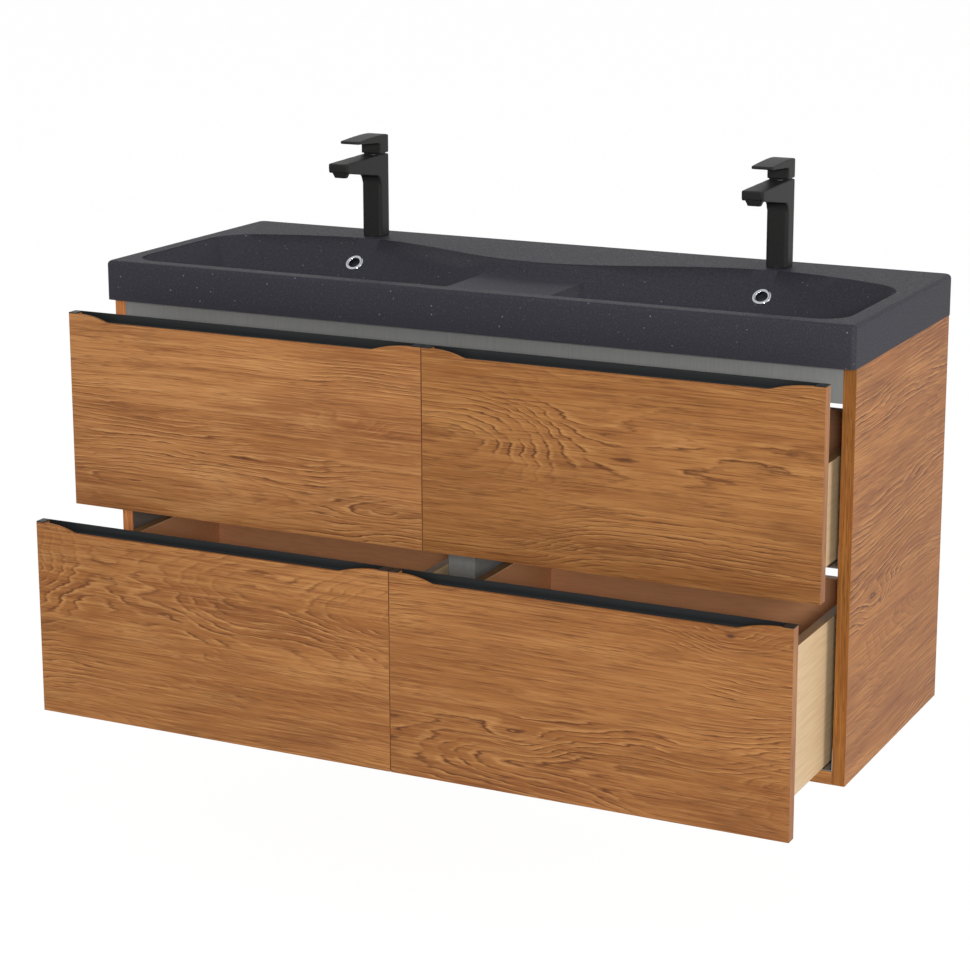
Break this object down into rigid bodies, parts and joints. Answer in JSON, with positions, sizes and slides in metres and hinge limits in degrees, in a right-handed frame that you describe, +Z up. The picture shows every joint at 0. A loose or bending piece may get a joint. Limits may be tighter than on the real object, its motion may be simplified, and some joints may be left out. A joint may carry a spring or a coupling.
{
  "type": "bathroom vanity cabinet",
  "caption": "Wall-hung double bathroom vanity with pull-out drawers, recessed grip fronts, a dark moulded basin with two bowls and lever taps.",
  "frame": {"origin": "wall plane, at the middle of the cabinet's width and the underside of the carcass", "axes": "+X to the right seen from the room, +Y into the wall, +Z up; the drawers open towards -Y"},
  "size_m": [1.205, 0.6575, 0.8267],
  "materials": {
    "oak_board": "satin",
    "graphite_board": "satin",
    "box_board": "satin",
    "box_floor_board": "matte",
    "black_profile": "satin",
    "runner_steel": "satin",
    "black_composite": "matte",
    "chrome": "polished",
    "black_brass": "matte"
  },
  "bodies": {
    "root": {"side_panel_left": "oak_board", "side_panel_right": "oak_board", "centre_panel_left": "graphite_board", "centre_panel_right": "graphite_board", "bottom_panel_left": "oak_board", "bottom_panel_right": "oak_board", "front_rail_left": "graphite_board", "front_rail_right": "graphite_board", "hanging_rail_left": "box_floor_board", "hanging_rail_right": "box_floor_board", "wall_hangers": "runner_steel", "cabinet_runners_left": "runner_steel", "cabinet_runners_right": "runner_steel", "basin": "black_composite", "overflow_rings": "chrome", "waste_left": "chrome", "waste_right": "chrome", "tap_body_left": "black_brass", "tap_body_right": "black_brass", "tap_outlets": "black_brass", "tap_cartridges": "runner_steel", "basin_fixings": "runner_steel"},
    "drawer_upper_left": {"front_upper_left": "oak_board", "grip_upper_left": "black_profile", "sides_upper_left": "box_board", "back_upper_left": "box_board", "bottom_upper_left": "box_floor_board", "pipe_guard_left": "box_floor_board", "runners_upper_left": "runner_steel"},
    "slide_upper_left": {"middle_runners_upper_left": "runner_steel"},
    "drawer_upper_right": {"front_upper_right": "oak_board", "grip_upper_right": "black_profile", "sides_upper_right": "box_board", "back_upper_right": "box_board", "bottom_upper_right": "box_floor_board", "pipe_guard_right": "box_floor_board", "runners_upper_right": "runner_steel"},
    "slide_upper_right": {"middle_runners_upper_right": "runner_steel"},
    "drawer_lower_left": {"front_lower_left": "oak_board", "grip_lower_left": "black_profile", "sides_lower_left": "box_board", "back_lower_left": "box_board", "bottom_lower_left": "box_floor_board", "runners_lower_left": "runner_steel"},
    "slide_lower_left": {"middle_runners_lower_left": "runner_steel"},
    "drawer_lower_right": {"front_lower_right": "oak_board", "grip_lower_right": "black_profile", "sides_lower_right": "box_board", "back_lower_right": "box_board", "bottom_lower_right": "box_floor_board", "runners_lower_right": "runner_steel"},
    "slide_lower_right": {"middle_runners_lower_right": "runner_steel"},
    "tap_carrier_left": {"tap_carrier_left": "runner_steel"},
    "tap_lever_left": {"tap_lever_left": "black_brass"},
    "waste_plug_left": {"waste_plug_left": "chrome"},
    "tap_carrier_right": {"tap_carrier_right": "runner_steel"},
    "tap_lever_right": {"tap_lever_right": "black_brass"},
    "waste_plug_right": {"waste_plug_right": "chrome"}
  },
  "joints": [
    {"name": "drawer_upper_left_slide", "type": "slide", "parent": "root", "child": "drawer_upper_left", "axis": [0, -1, 0], "range_m": [-0.104, 0.276]},
    {"name": "runner_upper_left_slide", "type": "slide", "parent": "root", "child": "slide_upper_left", "axis": [0, -1, 0], "range_m": [-0.052, 0.138]},
    {"name": "drawer_upper_right_slide", "type": "slide", "parent": "root", "child": "drawer_upper_right", "axis": [0, -1, 0], "range_m": [-0.104, 0.276]},
    {"name": "runner_upper_right_slide", "type": "slide", "parent": "root", "child": "slide_upper_right", "axis": [0, -1, 0], "range_m": [-0.052, 0.138]},
    {"name": "drawer_lower_left_slide", "type": "slide", "parent": "root", "child": "drawer_lower_left", "axis": [0, -1, 0], "range_m": [-0.206, 0.174]},
    {"name": "runner_lower_left_slide", "type": "slide", "parent": "root", "child": "slide_lower_left", "axis": [0, -1, 0], "range_m": [-0.103, 0.087]},
    {"name": "drawer_lower_right_slide", "type": "slide", "parent": "root", "child": "drawer_lower_right", "axis": [0, -1, 0], "range_m": [-0.206, 0.174]},
    {"name": "runner_lower_right_slide", "type": "slide", "parent": "root", "child": "slide_lower_right", "axis": [0, -1, 0], "range_m": [-0.103, 0.087]},
    {"name": "tap_left_swivel", "type": "hinge", "parent": "root", "child": "tap_carrier_left", "pos_m": [-0.348, -0.052, 0.79], "axis": [0, 0, 1], "range_deg": [-45, 45]},
    {"name": "tap_left_lift", "type": "hinge", "parent": "tap_carrier_left", "child": "tap_lever_left", "pos_m": [-0.348, -0.043, 0.8002], "axis": [-1, 0, 0], "range_deg": [0, 18]},
    {"name": "waste_left_pop_up", "type": "slide", "parent": "root", "child": "waste_plug_left", "axis": [0, 0, 1], "range_m": [0, 0.007]},
    {"name": "tap_right_swivel", "type": "hinge", "parent": "root", "child": "tap_carrier_right", "pos_m": [0.348, -0.052, 0.79], "axis": [0, 0, 1], "range_deg": [-45, 45]},
    {"name": "tap_right_lift", "type": "hinge", "parent": "tap_carrier_right", "child": "tap_lever_right", "pos_m": [0.348, -0.043, 0.8002], "axis": [-1, 0, 0], "range_deg": [0, 18]},
    {"name": "waste_right_pop_up", "type": "slide", "parent": "root", "child": "waste_plug_right", "axis": [0, 0, 1], "range_m": [0, 0.007]}
  ],
  "couplings": [
    {"joint": "runner_upper_left_slide", "follows": "drawer_upper_left_slide", "ratio": 0.5},
    {"joint": "runner_upper_right_slide", "follows": "drawer_upper_right_slide", "ratio": 0.5},
    {"joint": "runner_lower_left_slide", "follows": "drawer_lower_left_slide", "ratio": 0.5},
    {"joint": "runner_lower_right_slide", "follows": "drawer_lower_right_slide", "ratio": 0.5}
  ]
}
